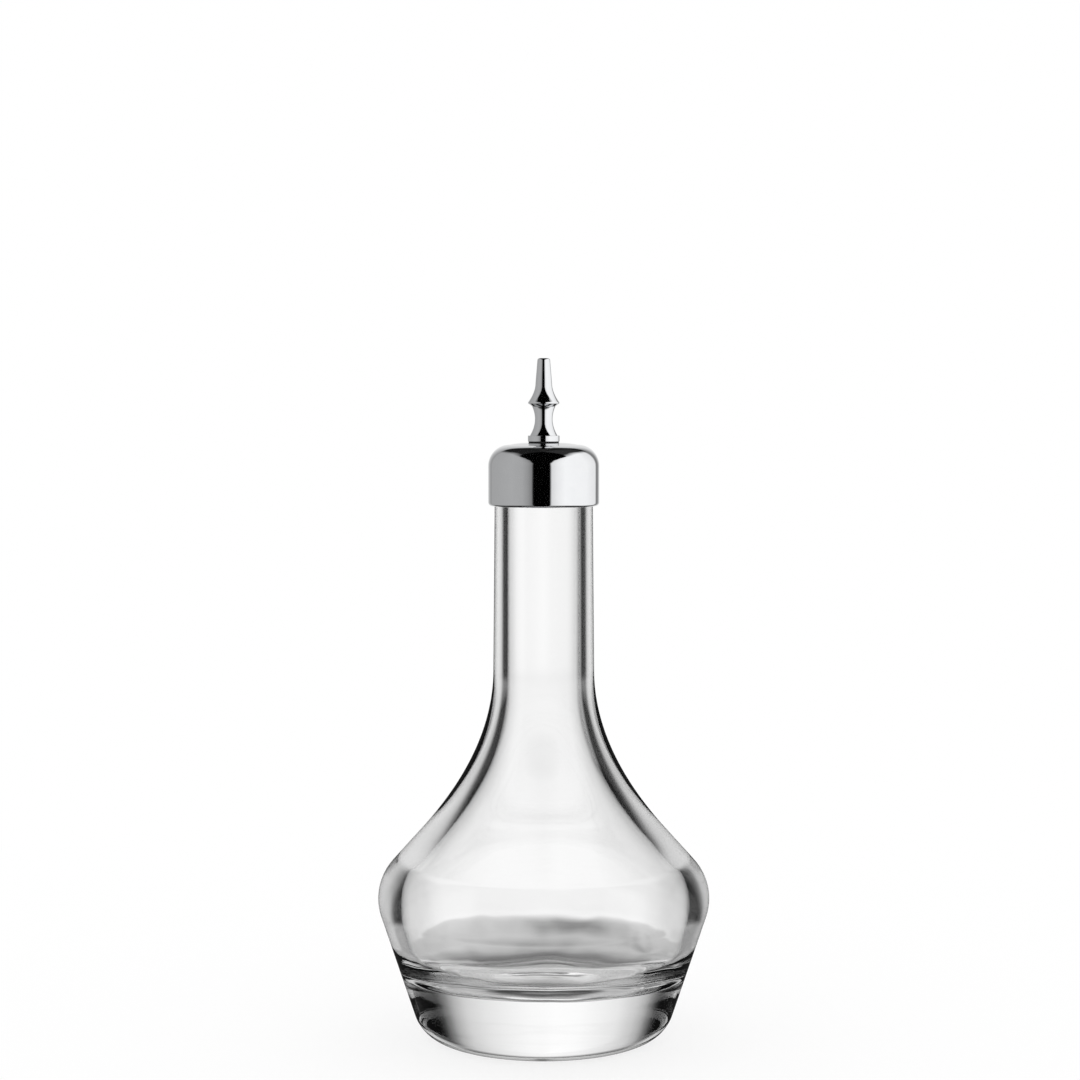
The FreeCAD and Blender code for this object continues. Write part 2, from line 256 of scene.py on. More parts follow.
def turning_tree():
    """Geometry nodes that turn a half section about the z axis, uneven where the section asks for it."""
    tree = bpy.data.node_groups.new("turned_piece", "GeometryNodeTree")
    face = tree.interface
    for name, kind in (
        ("Section", "Geometry"),
        ("Segments", "Int"),
        ("Ripple Height", "Float"),
        ("Ripple Size", "Float"),
        ("Ripple Seed", "Float"),
        ("Shift", "Vector"),
        ("Material", "Material"),
    ):
        face.new_socket(name, in_out="INPUT", socket_type="NodeSocket" + kind)
    face.new_socket("Piece", in_out="OUTPUT", socket_type="NodeSocketGeometry")
    given = add(tree, "NodeGroupInput").outputs
    section = given["Section"]

    # A grid of one row for each point of the section and one column for each step of the turn
    rows = add(tree, "GeometryNodeAttributeDomainSize", {"Geometry": section}).outputs["Point Count"]
    columns = add(tree, "ShaderNodeMath", {0: given["Segments"], 1: 1.0}).outputs[0]
    grid = add(tree, "GeometryNodeMeshGrid", {"Vertices X": columns, "Vertices Y": rows}).outputs["Mesh"]
    index = add(tree, "GeometryNodeInputIndex").outputs[0]
    row = add(tree, "ShaderNodeMath", {0: index, 1: rows}, operation="FLOORED_MODULO").outputs[0]
    column = add(tree, "ShaderNodeMath", {0: index, 1: rows}, operation="DIVIDE").outputs[0]
    column = add(tree, "ShaderNodeMath", {0: column}, operation="FLOOR").outputs[0]
    share = add(tree, "ShaderNodeMath", {0: column, 1: given["Segments"]}, operation="DIVIDE").outputs[0]
    turn = add(tree, "ShaderNodeMath", {0: share, 1: math.tau}, operation="MULTIPLY").outputs[0]

    at_row = {"Geometry": section, "Index": row}
    axis = {"Axis": (0.0, 0.0, 1.0), "Angle": turn}
    place = add(tree, "GeometryNodeInputPosition").outputs[0]
    way = add(
        tree,
        "GeometryNodeInputNamedAttribute",
        {"Name": "ripple"},
        data_type="FLOAT_VECTOR",
    ).outputs[0]
    around = []
    for value in (place, way):
        sample = add(
            tree,
            "GeometryNodeSampleIndex",
            {**at_row, "Value": value},
            data_type="FLOAT_VECTOR",
        ).outputs[0]
        around.append(add(tree, "ShaderNodeVectorRotate", {"Vector": sample, **axis}).outputs[0])
    place, way = around
    part = add(tree, "GeometryNodeInputNamedAttribute", {"Name": "shift"}, data_type="FLOAT").outputs[0]
    part = add(tree, "GeometryNodeSampleIndex", {**at_row, "Value": part}, data_type="FLOAT").outputs[0]

    # Ripples along the section's normal, and the sideways shift
    scale = add(tree, "ShaderNodeMath", {0: 1.0, 1: given["Ripple Size"]}, operation="DIVIDE").outputs[0]
    noise = add(
        tree,
        "ShaderNodeTexNoise",
        {
            "Vector": place,
            "W": given["Ripple Seed"],
            "Scale": scale,
            "Detail": RIPPLE_DETAIL,
            "Roughness": RIPPLE_ROUGHNESS,
        },
        noise_dimensions="4D",
    ).outputs[0]
    swing = add(tree, "ShaderNodeMapRange", {"Value": noise, "To Min": -1.0, "To Max": 1.0}).outputs[0]
    full = given["Ripple Height"]
    height = add(tree, "ShaderNodeMath", {0: swing, 1: full}, operation="MULTIPLY").outputs[0]
    ripple = add(tree, "ShaderNodeVectorMath", {0: way, "Scale": height}, operation="SCALE").outputs[0]
    shift = given["Shift"]
    aside = add(tree, "ShaderNodeVectorMath", {0: shift, "Scale": part}, operation="SCALE").outputs[0]
    place = add(tree, "ShaderNodeVectorMath", {0: place, 1: ripple}, operation="ADD").outputs[0]
    place = add(tree, "ShaderNodeVectorMath", {0: place, 1: aside}, operation="ADD").outputs[0]

    piece = add(tree, "GeometryNodeSetPosition", {"Geometry": grid, "Position": place}).outputs[0]
    merge = {"Geometry": piece, "Distance": MERGE_DISTANCE}
    piece = add(tree, "GeometryNodeMergeByDistance", merge).outputs[0]
    piece = add(tree, "GeometryNodeSetShadeSmooth", {"Geometry": piece}).outputs[0]
    piece = add(tree, "GeometryNodeRealizeInstances", {"Geometry": piece}).outputs[0]
    finish = {"Geometry": piece, "Material": given["Material"]}
    piece = add(tree, "GeometryNodeSetMaterial", finish).outputs[0]
    add(tree, "NodeGroupOutput", {"Piece": piece})
    return tree


def section_mesh(outline):
    """The half section as points in the frame, each with the way it ripples and its part in the shift."""
    points = outline.points
    mesh = bpy.data.meshes.new("section")
    edges = [(i, i + 1) for i in range(len(points) - 1)]
    mesh.from_pydata([(r * MM, 0.0, z * MM) for r, z in points], edges, [])
    ways = []
    for i, ripple in enumerate(outline.ripples):
        before, after = points[max(i - 1, 0)], points[min(i + 1, len(points) - 1)]
        run, rise = after[0] - before[0], after[1] - before[1]
        length = math.hypot(run, rise) or 1.0
        ways += [ripple * rise / length, 0.0, -ripple * run / length]
    mesh.attributes.new("ripple", "FLOAT_VECTOR", "POINT").data.foreach_set("vector", ways)
    mesh.attributes.new("shift", "FLOAT", "POINT").data.foreach_set("value", outline.shifts)
    return mesh


def turned(name, outline, segments, material, ripple_height=0.0, shift=(0.0, 0.0, 0.0)):
    """A finished turned piece: the half section run through the turning tree and made a plain mesh."""
    holder = bpy.data.objects.new(name + "_section", section_mesh(outline))
    SCENE.collection.objects.link(holder)
    modifier = holder.modifiers.new("turn", "NODES")
    modifier.node_group = TURNING
    values = {
        "Segments": segments,
        "Ripple Height": ripple_height * MM,
        "Ripple Size": RIPPLE_SIZE * MM,
        "Ripple Seed": RIPPLE_SEED,
        "Shift": [part * MM for part in shift],
        "Material": material,
    }
    for socket in TURNING.interface.items_tree:
        if socket.name in values:
            modifier[socket.identifier] = values[socket.name]
    graph = bpy.context.evaluated_depsgraph_get()
    mesh = bpy.data.meshes.new_from_object(holder.evaluated_get(graph))
    bpy.data.objects.remove(holder)
    return finished(name, mesh)


def finished(name, mesh):
    """A piece from a closed mesh: faces outwards, smooth but for its sharp edges, at the origin."""
    work = bmesh.new()
    work.from_mesh(mesh)
    bmesh.ops.recalc_face_normals(work, faces=work.faces)
    work.to_mesh(mesh)
    work.free()
    mesh.name = name
    mesh.set_sharp_from_angle(angle=SHARP_ANGLE)
    piece = bpy.data.objects.new(name, mesh)
    SCENE.collection.objects.link(piece)
    return piece


def span(node):
    """Lowest and highest height and widest radius of a CAD node, in millimetres."""
    low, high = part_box(node)
    return low.z / MM, high.z / MM, max(high.x, high.y, -low.x, -low.y) / MM


def glass_outline():
    """Thick glass: tapered base, round belly, swept shoulder, drafted neck, rounded lip and the cavity."""
    _, lip, _ = span("glass_bottle")
    taper = math.radians(BASE_TAPER)
    belly = (BODY_RADIUS - BELLY_ROUND, WIDEST_HEIGHT)
    cavity = (BODY_RADIUS - BODY_WALL - CAVITY_ROUND, CAVITY_WIDEST_HEIGHT)

    def shoulder(centre, radius, neck, lean, straight_share):
        """Where the shoulder's straight flank would meet the neck, and where its sweep starts."""
        tangent = on_circle(centre, radius, lean)
        corner = (neck, tangent[1] + (tangent[0] - neck) / math.tan(math.radians(lean)))
        start = tuple(t + straight_share * (c - t) for t, c in zip(tangent, corner))
        return corner, start

    cone_top = on_circle(belly, BELLY_ROUND, -BASE_TAPER)
    cone_foot_z = HEEL_ROUND * (1 - math.sin(taper))
    cone_foot_r = cone_top[0] - (cone_top[1] - cone_foot_z) * math.tan(taper)
    heel = (cone_foot_r - HEEL_ROUND * math.cos(taper), HEEL_ROUND)
    punt = heel[0] - BEARING_RING_WIDTH
    corner, start = shoulder(
        belly, BELLY_ROUND, NECK_ROOT_RADIUS, SHOULDER_LEAN, STRAIGHT_SHOULDER_SHARE
    )
    inner_corner, inner_start = shoulder(
        cavity, CAVITY_ROUND, BORE_RADIUS, CAVITY_LEAN, CAVITY_STRAIGHT_SHARE
    )
    bore_root = inner_corner[1] + NECK_ROOT_HEIGHT - corner[1] + CAVITY_ROOT_RISE
    inner_cone = on_circle(cavity, CAVITY_ROUND, -CAVITY_TAPER)
    wall_foot = on_circle(inner_cone, FLOOR_ROUND, 180 - CAVITY_TAPER)
    floor_z = BASE_THICKNESS + FLOOR_ROUND
    floor = (wall_foot[0] - (wall_foot[1] - floor_z) * math.tan(math.radians(CAVITY_TAPER)), floor_z)
    outer_lip = (NECK_TOP_RADIUS - LIP_OUTER_ROUND, lip - LIP_OUTER_ROUND)
    inner_lip = (BORE_RADIUS + LIP_INNER_ROUND, lip - LIP_INNER_ROUND)

    outline = Outline(0, PUNT_DEPTH)
    outline.sweep((punt / 4, PUNT_DEPTH), (punt / 2, PUNT_DEPTH / 2), steps=16)
    outline.sweep((punt * 3 / 4, 0), (punt, 0), steps=16)
    outline.arc(heel, HEEL_ROUND, -90, -BASE_TAPER, steps=24, lead=6)
    outline.arc(belly, BELLY_ROUND, -BASE_TAPER, SHOULDER_LEAN, steps=32, lead=20)
    outline.line(*start, steps=10)
    outline.sweep(corner, (NECK_ROOT_RADIUS, NECK_ROOT_HEIGHT), steps=40)
    outline.arc(outer_lip, LIP_OUTER_ROUND, 0, 90, steps=10, lead=24)
    outline.arc(inner_lip, LIP_INNER_ROUND, 90, 180, steps=8)
    outline.line(BORE_RADIUS, bore_root, steps=28)
    foot = len(outline.points)
    outline.sweep(inner_corner, inner_start, steps=40)
    outline.arc(cavity, CAVITY_ROUND, CAVITY_LEAN, -CAVITY_TAPER, steps=28, lead=10)
    outline.arc(floor, FLOOR_ROUND, -CAVITY_TAPER, -90, steps=24, lead=10)
    outline.line(0, BASE_THICKNESS, steps=28)
    # The unevenness grows from nothing in the straight bore to all of it on the floor
    for i in range(foot, len(outline.points)):
        depth = (bore_root - outline.points[i][1]) / (bore_root - BASE_THICKNESS)
        outline.ripples[i] = depth ** RIPPLE_GROWTH
        outline.shifts[i] = depth ** 2 * (3 - 2 * depth)
    return outline


def flat_ring_outline(node, hole, softening):
    """Flat ring with softened edges: the gasket and the washers."""
    bottom, top, edge = span(node)
    return rounded_ring([(hole, bottom), (edge, bottom), (edge, top), (hole, top)], softening)


def sleeve_outline():
    """Soft sleeve with blunt fins that lean down into the bore."""
    bottom, top, fin = span("stopper_sleeve")
    root = fin - FIN_DEPTH
    pitch = (top - bottom) / FIN_COUNT
    corners = [(SEAL_HOLE_RADIUS, bottom), (root, bottom)]
    for foot in (bottom + i * pitch for i in range(FIN_COUNT)):
        low, high = (foot + share * pitch for share in FIN_TIP_SHARES)
        corners += [(root, foot + FIN_FOOT_SHARE * pitch), (fin, low), (fin, high), (root, foot + pitch)]
    corners.append((SEAL_HOLE_RADIUS, top))
    return rounded_ring(corners, FIN_EDGE)


def stem_outline():
    """Flanged tube that the nozzle screws into, its edges broken."""
    bottom, top, flange = span("stopper_stem")
    under = top - FLANGE_THICKNESS
    socket_end = top - SOCKET_DEPTH
    corners = [
        (STEM_FLOW_RADIUS, bottom), (STEM_RADIUS, bottom), (STEM_RADIUS, under), (flange, under),
        (flange, top), (SOCKET_RADIUS, top), (SOCKET_RADIUS, socket_end), (STEM_FLOW_RADIUS, socket_end),
    ]
    return rounded_ring(corners, STEM_EDGE)


def cap_outline():
    """Domed cap: crowned top with a hole for the nozzle, round shoulder, and a skirt with a rounded hem."""
    hem, top, radius = span("cap_shell")
    inside = radius - CAP_WALL
    inner_round = CAP_SHOULDER_ROUND - CAP_WALL
    under = top - CAP_WALL
    shoulder = (radius - CAP_SHOULDER_ROUND, top - CAP_CROWN_RISE - CAP_SHOULDER_ROUND)
    outline = Outline(CAP_HOLE_RADIUS, under)
    outline.arc((shoulder[0], under - inner_round), inner_round, 90, 0, steps=16, lead=4)
    outline.line(inside, hem, steps=8)
    outline.arc((radius - CAP_HEM_ROUND, hem + CAP_HEM_ROUND), CAP_HEM_ROUND, -90, 0, steps=12)
    outline.arc(shoulder, CAP_SHOULDER_ROUND, 0, 90, steps=32, lead=12)
    outline.sweep(((shoulder[0] + COLLAR_RADIUS) / 2, top), (COLLAR_RADIUS, top), steps=16)
    outline.bend((CAP_HOLE_RADIUS, top), (CAP_HOLE_RADIUS, under), TURNED_EDGE)
    return outline.line(CAP_HOLE_RADIUS, under)


def nozzle_outline():
    """Turned spire on a collar: a flared waist, a bead, and a slim taper with a drilled, rounded tip."""
    spigot_end, tip_z, _ = span("dasher_nozzle")
    seat = tip_z - NOZZLE_HEIGHT
    collar_top = seat + COLLAR_HEIGHT

    def height(share):
        return seat + share * NOZZLE_HEIGHT

    waist, under, bead = (height(share) for share in (WAIST_SHARE, UNDER_BEAD_SHARE, BEAD_SHARE))
    orifice_foot, orifice_top = (height(share) for share in ORIFICE_SHARES)
    outline = Outline(NOZZLE_FLOW_RADIUS, spigot_end)
    outline.bend((SPIGOT_RADIUS, spigot_end), (SPIGOT_RADIUS, seat), 3 * TURNED_EDGE)
    outline.line(SPIGOT_RADIUS, seat)
    outline.bend((COLLAR_RADIUS, seat), (COLLAR_RADIUS, collar_top), TURNED_EDGE)
    outline.bend((COLLAR_RADIUS, collar_top), (FOOT_RADIUS, collar_top), TURNED_EDGE)
    outline.line(FOOT_RADIUS, collar_top)
    outline.sweep((WAIST_RADIUS, (collar_top + waist) / 2), (WAIST_RADIUS, waist), steps=16)
    outline.sweep((WAIST_RADIUS, (waist + under) / 2), (UNDER_BEAD_RADIUS, under), steps=16)
    outline.bend((BEAD_RADIUS, bead), (BEAD_RADIUS, bead + BEAD_EDGE), TURNED_EDGE)
    outline.bend((BEAD_RADIUS, bead + BEAD_EDGE), (TAPER_RADIUS, height(SPIRE_BEND_SHARE)), TURNED_EDGE)
    outline.sweep((TAPER_RADIUS, height(SPIRE_BEND_SHARE)), (TAPER_RADIUS, height(TAPER_SHARE)), steps=24)
    outline.arc((TIP_RADIUS - TIP_ROUND, tip_z - TIP_ROUND), TIP_ROUND, 0, 90, steps=8, lead=8)
    outline.bend((ORIFICE_RADIUS, tip_z), (ORIFICE_RADIUS, orifice_top), TURNED_EDGE)
    outline.line(ORIFICE_RADIUS, orifice_top)
    return outline.line(NOZZLE_FLOW_RADIUS, orifice_foot).line(NOZZLE_FLOW_RADIUS, spigot_end)


def hexagon_nut(name, material):
    """Thin hexagon nut: six flats under a turned chamfer on each face, and a countersunk hole."""
    bottom, top, corner = span("stem_nut")
    flat = corner * math.cos(math.pi / NUT_SIDES)
    face = corner - NUT_CHAMFER
    side_turn = math.tau / NUT_SIDES
    sink = STEEL_HOLE_RADIUS + WASHER_EDGE
    mesh = bmesh.new()
    rings = []
    for column in range(NUT_COLUMNS):
        turn = math.tau * column / NUT_COLUMNS
        edge = flat / math.cos(turn % side_turn - side_turn / 2)
        drop = max(0.0, edge - face)
        rows = (
            (STEEL_HOLE_RADIUS, top - WASHER_EDGE),
            (sink, top),
            (min(edge, face), top),
            (edge, top - drop),
            (edge, bottom + drop),
            (min(edge, face), bottom),
            (sink, bottom),
            (STEEL_HOLE_RADIUS, bottom + WASHER_EDGE),
        )
        across, beside = math.cos(turn) * MM, math.sin(turn) * MM
        rings.append([mesh.verts.new((r * across, r * beside, z * MM)) for r, z in rows])
    for ring, onward in zip(rings, rings[1:] + rings[:1]):
        for i in range(len(ring)):
            j = (i + 1) % len(ring)
            mesh.faces.new((ring[i], ring[j], onward[j], onward[i]))
    bmesh.ops.remove_doubles(mesh, verts=mesh.verts, dist=MERGE_DISTANCE)
    data = bpy.data.meshes.new(name)
    mesh.to_mesh(data)
    mesh.free()
    data.materials.append(material)
    data.shade_smooth()
    return finished(name, data)


def new_material(name):
    """An empty node material, its tree and its Object coordinates."""
    material = bpy.data.materials.new(name)
    material.use_nodes = True
    tree = material.node_tree
    tree.nodes.clear()
    return material, tree, add(tree, "ShaderNodeTexCoord").outputs["Object"]


def per_metre(size):
    """Texture scale of a pattern whose features are this many millimetres across."""
    return 1 / (size * MM)


def turned_lines(tree, place, spacing):
    """Uneven tool lines that run round the axis, on end faces and on barrels alike."""
    level = (1.0, 1.0, 0.0)
    flat = add(tree, "ShaderNodeVectorMath", {0: place, 1: level}, operation="MULTIPLY").outputs[0]
    out = add(tree, "ShaderNodeVectorMath", {0: flat}, operation="LENGTH").outputs["Value"]
    up = add(tree, "ShaderNodeSeparateXYZ", {0: place}).outputs["Z"]
    path = add(tree, "ShaderNodeMath", {0: out, 1: up}, operation="ADD").outputs[0]
    return add(
        tree,
        "ShaderNodeTexNoise",
        {"W": path, "Scale": per_metre(spacing), "Detail": 3.0},
        noise_dimensions="1D",
    ).outputs[0]


def clear_glass():
    """Clear soda-lime glass, blown and fire-polished: no colour, all refraction and clean reflections.

    The skin is faintly wavy, and the ring that the bottle stands on is scuffed dull.
    """
    material, tree, place = new_material("clear_soda_lime_glass")
    swell = add(
        tree,
        "ShaderNodeTexNoise",
        {"Vector": place, "Scale": per_metre(GLASS_SWELL_SIZE), "Detail": 1.0},
    ).outputs[0]
    skin = add(
        tree,
        "ShaderNodeBump",
        {"Height": swell, "Strength": 1.0, "Distance": GLASS_SWELL_DEPTH * MM},
    ).outputs[0]
    up = add(tree, "ShaderNodeSeparateXYZ", {0: place}).outputs["Z"]
    worn_to, clean_from = (height * MM for height in SCUFF_FADE_HEIGHTS)
    low = add(
        tree,
        "ShaderNodeMapRange",
        {"Value": up, "From Min": worn_to, "From Max": clean_from, "To Min": 1.0, "To Max": 0.0},
    ).outputs[0]
    scuffs = add(
        tree,
        "ShaderNodeTexNoise",
        {"Vector": place, "Scale": per_metre(SCUFF_SIZE), "Detail": 3.0},
    ).outputs[0]
    dull = add(tree, "ShaderNodeMapRange", {"Value": scuffs, "To Min": 0.1, "To Max": 0.5}).outputs[0]
    worn = add(tree, "ShaderNodeMath", {0: low, 1: dull}, operation="MULTIPLY").outputs[0]
    shader = add(
        tree,
        "ShaderNodeBsdfPrincipled",
        {
            "Base Color": linear("#ffffff"),
            "Roughness": worn,
            "IOR": 1.52,
            "Transmission Weight": 1.0,
            "Normal": skin,
        },
    )
    add(tree, "ShaderNodeOutputMaterial", {"Surface": shader.outputs[0]})
    return material


def polished_chrome():
    """Bright chrome plate on polished brass: a neutral, slightly swimming mirror with a breath of haze."""
    material, tree, place = new_material("polished_chrome_plate")
    haze = add(
        tree,
        "ShaderNodeTexNoise",
        {"Vector": place, "Scale": per_metre(CHROME_HAZE_SIZE), "Detail": 4.0},
    ).outputs[0]
    gloss = add(tree, "ShaderNodeMapRange", {"Value": haze, "To Min": 0.03, "To Max": 0.07}).outputs[0]
    swell = add(
        tree,
        "ShaderNodeTexNoise",
        {"Vector": place, "Scale": per_metre(CHROME_SWELL_SIZE), "Detail": 1.0},
    ).outputs[0]
    skin = add(
        tree,
        "ShaderNodeBump",
        {"Height": swell, "Strength": 1.0, "Distance": CHROME_SWELL_DEPTH * MM},
    ).outputs[0]
    tone = add(
        tree,
        "ShaderNodeMix",
        {"Factor": haze, 6: linear("#d2d3d5"), 7: linear("#d8d9da")},
        data_type="RGBA",
    ).outputs[2]
    shader = add(
        tree,
        "ShaderNodeBsdfPrincipled",
        {"Base Color": tone, "Metallic": 1.0, "Roughness": gloss, "Normal": skin},
    )
    add(tree, "ShaderNodeOutputMaterial", {"Surface": shader.outputs[0]})
    return material


def turned_steel():
    """Bare stainless steel straight from the lathe: grey, with fine rings that smear its highlights.

    Real tool lines are about 0.05 mm apart. They are drawn at 0.2 mm, so that they show.
    """
    material, tree, place = new_material("turned_stainless_steel")
    lines = turned_lines(tree, place, TOOL_LINE_SPACING)
    gloss = add(tree, "ShaderNodeMapRange", {"Value": lines, "To Min": 0.22, "To Max": 0.42}).outputs[0]
    tone = add(
        tree,
        "ShaderNodeMix",
        {"Factor": lines, 6: linear("#a9a9ac"), 7: linear("#c4c4c6")},
        data_type="RGBA",
    ).outputs[2]
    skin = add(
        tree,
        "ShaderNodeBump",
        {"Height": lines, "Strength": 0.6, "Distance": TOOL_LINE_DEPTH * MM},
    ).outputs[0]
    shader = add(
        tree,
        "ShaderNodeBsdfPrincipled",
        {"Base Color": tone, "Metallic": 1.0, "Roughness": gloss, "Normal": skin},
    )
    add(tree, "ShaderNodeOutputMaterial", {"Surface": shader.outputs[0]})
    return material


def moulded_silicone():
    """Food-grade silicone from an etched mould: milky and satin, with light soaking in at the thin fins."""
    material, tree, place = new_material("moulded_silicone")
    cloud = add(
        tree,
        "ShaderNodeTexNoise",
        {"Vector": place, "Scale": per_metre(SILICONE_CLOUD_SIZE), "Detail": 3.0},
    ).outputs[0]
    tone = add(
        tree,
        "ShaderNodeMix",
        {"Factor": cloud, 6: linear("#d6d5cf"), 7: linear("#e4e3de")},
        data_type="RGBA",
    ).outputs[2]
    grain = add(
        tree,
        "ShaderNodeTexNoise",
        {"Vector": place, "Scale": per_metre(SILICONE_GRAIN_SIZE), "Detail": 2.0},
    ).outputs[0]
    gloss = add(tree, "ShaderNodeMapRange", {"Value": grain, "To Min": 0.38, "To Max": 0.6}).outputs[0]
    skin = add(
        tree,
        "ShaderNodeBump",
        {"Height": grain, "Strength": 0.4, "Distance": SILICONE_GRAIN_DEPTH * MM},
    ).outputs[0]
    shader = add(
        tree,
        "ShaderNodeBsdfPrincipled",
        {
            "Base Color": tone,
            "Roughness": gloss,
            "IOR": 1.41,
            "Subsurface Weight": 0.4,
            "Subsurface Radius": (1.0, 0.95, 0.85),
            "Subsurface Scale": SILICONE_SOAK * MM,
            "Normal": skin,
        },
    )
    add(tree, "ShaderNodeOutputMaterial", {"Surface": shader.outputs[0]})
    return material


def dark_rubber():
    """Black nitrile rubber cut from sheet: matt, with a fine pressed grain and a dusty bloom."""
    material, tree, place = new_material("dark_nitrile_rubber")
    bloom = add(
        tree,
        "ShaderNodeTexNoise",
        {"Vector": place, "Scale": per_metre(RUBBER_BLOOM_SIZE), "Detail": 4.0},
    ).outputs[0]
    tone = add(
        tree,
        "ShaderNodeMix",
        {"Factor": bloom, 6: linear("#161617"), 7: linear("#2a2a2b")},
        data_type="RGBA",
    ).outputs[2]
    grain = add(
        tree,
        "ShaderNodeTexNoise",
        {"Vector": place, "Scale": per_metre(RUBBER_GRAIN_SIZE), "Detail": 2.0},
    ).outputs[0]
    gloss = add(tree, "ShaderNodeMapRange", {"Value": grain, "To Min": 0.6, "To Max": 0.85}).outputs[0]
    skin = add(
        tree,
        "ShaderNodeBump",
        {"Height": grain, "Strength": 0.5, "Distance": RUBBER_GRAIN_DEPTH * MM},
    ).outputs[0]
    shader = add(
        tree,
        "ShaderNodeBsdfPrincipled",
        {"Base Color": tone, "Roughness": gloss, "IOR": 1.5, "Normal": skin},
    )
    add(tree, "ShaderNodeOutputMaterial", {"Surface": shader.outputs[0]})
    return material


# The studio, in degrees to the right of straight ahead or up from level, with levels where 1 is white.
# Chrome sees a panel on each side, brighter on the right, a pale wall ahead and a dark gap behind the
# camera. CHROME_FLARE widens the gap with height, and CHROME_LIFT draws the wall's top and foot in beside
# its middle.
CHROME_AROUND = (
    (-180, 0.0), (-158, 0.0), (-155, 0.3), (-147, 0.43), (-135, 0.54), (-110, 0.57), (-45, 0.5),
    (-38, 0.4), (-23, 0.62), (-10, 0.85), (12, 0.92), (22, 0.62), (32, 0.27), (40, 0.27), (46, 1.1),
    (80, 1.3), (135, 1.35), (152, 1.2), (164, 1.0), (167, 0.0), (180, 0.0),
)
CHROME_UP = ((-90, 0.06), (-42, 0.06), (-36, 1.0), (48, 1.0), (60, 0.03), (90, 0.03))
CHROME_FLARE = ((-90, 1.0), (20, 1.0), (35, 1.06), (45, 1.2), (52, 1.5), (90, 1.5))
CHROME_LIFT = ((0, 1.0), (18, 1.2), (34, 1.65), (45, 1.35), (60, 1.1), (75, 1.0), (180, 1.0))
# The glass mirrors a dim room ahead and the panels at the sides
GLASS_AROUND = (
    (-180, 0.2), (-150, 0.5), (-105, 0.5), (-90, 0.03), (90, 0.03), (105, 1.0), (150, 1.0), (180, 0.2),
)
# Through the glass there is a bright wall all round over a pale table. AHEAD_UP gives its levels ahead,
# with a dark band far down and another high up, and ROUND_UP gives them everywhere else. ROUND_ASIDE says
# where one gives way to the other, counted to both sides of a middle that lies a little to the left.
AHEAD_UP = (
    (-90, 0.8), (-72, 0.6), (-66, 0.3), (-60, 0.05), (-54, 0.02), (-49, 0.15), (-46, 0.45), (-38, 0.55),
    (-31, 0.56), (-27, 0.62), (-17, 0.66), (-15, 0.72), (-14.2, 0.85), (-13.5, 0.96), (-12, 0.98),
    (-10, 0.95), (-9, 0.95), (-6, 1.02), (29, 1.02), (34, 0.4), (38, 0.15), (50, 0.1), (58, 0.4),
    (75, 0.65), (90, 0.7),
)
ROUND_UP = ((-90, 0.75), (-20, 0.75), (-12, 0.9), (29, 0.9), (40, 0.75), (90, 0.65))
ROUND_ASIDE = ((0, 0.0), (34, 0.0), (50, 1.0), (180, 1.0))
THROUGH_OFFSET = 3.0
# Shades take a share off the wall: dark flags at its ends ahead with weaker ones behind, side flags in two
# parts, one low and one above level, a belt low in the middle, and over it a patch a little to the right.
FLAG_ASIDE = (
    (0, 0.0), (7, 0.04), (13, 0.12), (20, 0.22), (27, 0.36), (32, 0.55), (36, 0.78), (40, 0.93),
    (44, 0.98), (57, 0.98), (64, 0.65), (72, 0.4), (82, 0.1), (90, 0.0), (105, 0.0), (116, 0.1),
    (124, 0.5), (136, 0.55), (150, 0.5), (165, 0.25), (180, 0.0),
)
FLAG_UP = ((-40, 0.2), (-20, 0.3), (-14, 0.6), (-8, 1.0), (28, 1.0), (36, 0.3), (60, 0.0))
SIDE_FLAG_ASIDE = ((40, 0.0), (46, 1.0), (70, 1.0), (80, 0.0))
SIDE_FLAG_UP = (
    (-45, 0.0), (-38, 0.5), (-20, 0.5), (-14, 0.0), (9, 0.0), (12, 0.95), (25, 0.95), (30, 0.0),
)
BELT_ASIDE = ((0, 1.0), (7, 1.0), (11, 0.0))
BELT_UP = ((-49, 0.0), (-46, 0.75), (-43, 0.78), (-38, 0.63), (-35, 0.43), (-31, 0.15), (-28, 0.0))
PATCH_ASIDE = ((0, 0.72), (1, 0.65), (2.2, 0.36), (3.5, 0.18), (5, 0.06), (8, 0.0))
PATCH_UP = ((-34, 0.0), (-29, 0.25), (-24, 0.75), (-21, 1.0), (-18, 0.9), (-16, 0.35), (-15, 0.0))
PATCH_OFFSET = -1.2


def level_at(tree, angle, stops):
    """The level at an angle, from a short list of stops with even slopes between them."""
    first, last = stops[0][0], stops[-1][0]
    reach = {"Value": angle, "From Min": first, "From Max": last}
    share = add(tree, "ShaderNodeMapRange", reach).outputs[0]
    ramp = add(tree, "ShaderNodeValToRGB", {0: share})
    marks = ramp.color_ramp.elements
    while len(marks) < len(stops):
        marks.new(1.0)
    for mark, (place, level) in zip(marks, stops):
        mark.position = (place - first) / (last - first)
        mark.color = (level, level, level, 1.0)
    return ramp.outputs[0]


